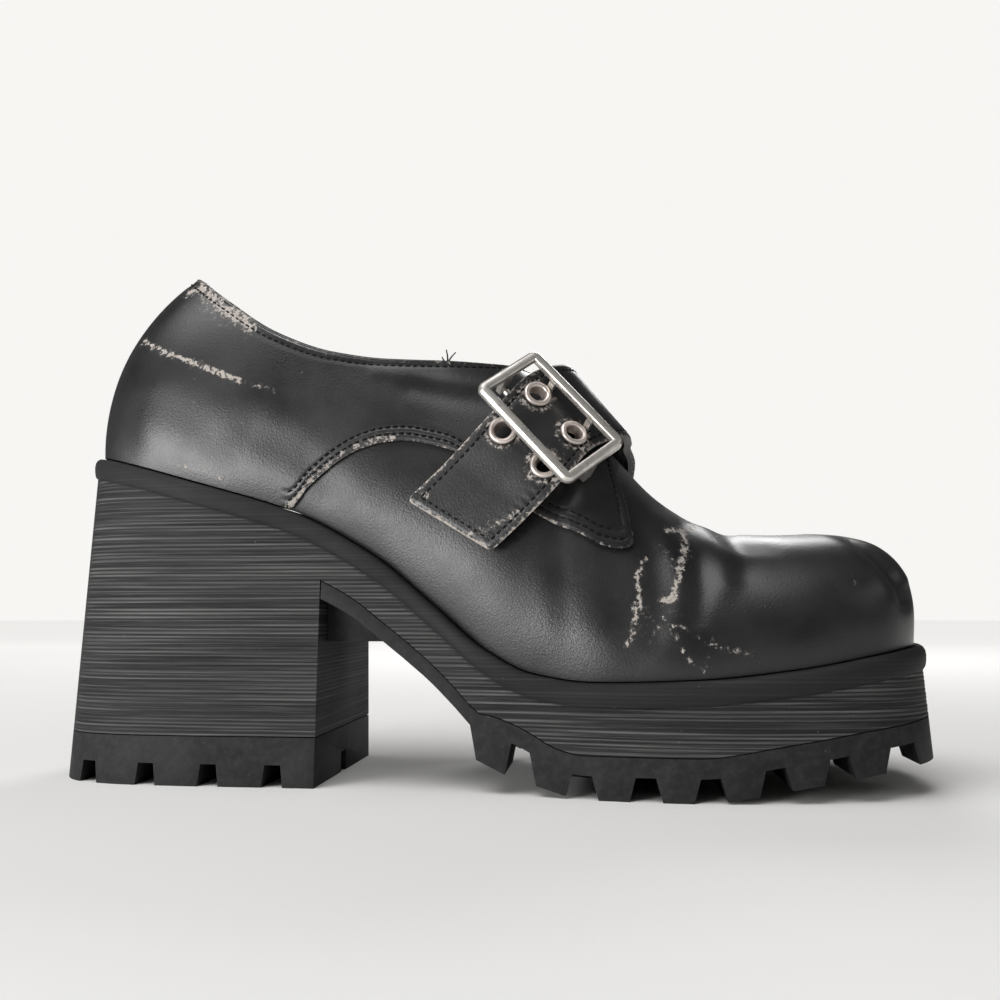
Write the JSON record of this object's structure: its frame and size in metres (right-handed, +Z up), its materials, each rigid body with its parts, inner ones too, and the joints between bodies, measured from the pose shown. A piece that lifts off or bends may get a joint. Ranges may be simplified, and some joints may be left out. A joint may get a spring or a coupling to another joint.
{
  "type": "platform shoe",
  "caption": "Right low-cut leather platform shoe with a lugged sole, a high block heel and a wide strap that buckles on the outer side.",
  "frame": {"origin": "middle of the sole's length and width, on the floor", "axes": "+X towards the toe, +Y towards the inner side of the foot, +Z up"},
  "size_m": [0.251, 0.096, 0.1539],
  "materials": {
    "sole": "matt charcoal, finely ribbed on its sides",
    "tread": "matt charcoal",
    "insole": "matt",
    "upper": "black, semi-gloss, scuffed",
    "quarter": "black, semi-gloss, with worn edges",
    "strap": "black, semi-gloss, with worn edges",
    "buckle": "satin",
    "eyelet": "satin"
  },
  "bodies": {
    "root": {"sole_unit": "sole", "heel_tread": "tread", "outsole_front": "tread", "insole": "insole", "upper": "upper", "quarter_lateral": "quarter", "quarter_medial": "quarter", "strap": "strap", "buckle_loop": "strap", "buckle_frame": "buckle", "prong_rear": "buckle", "prong_front": "buckle", "eyelet_1": "eyelet", "eyelet_2": "eyelet", "eyelet_3": "eyelet", "eyelet_4": "eyelet"}
  },
  "joints": []
}
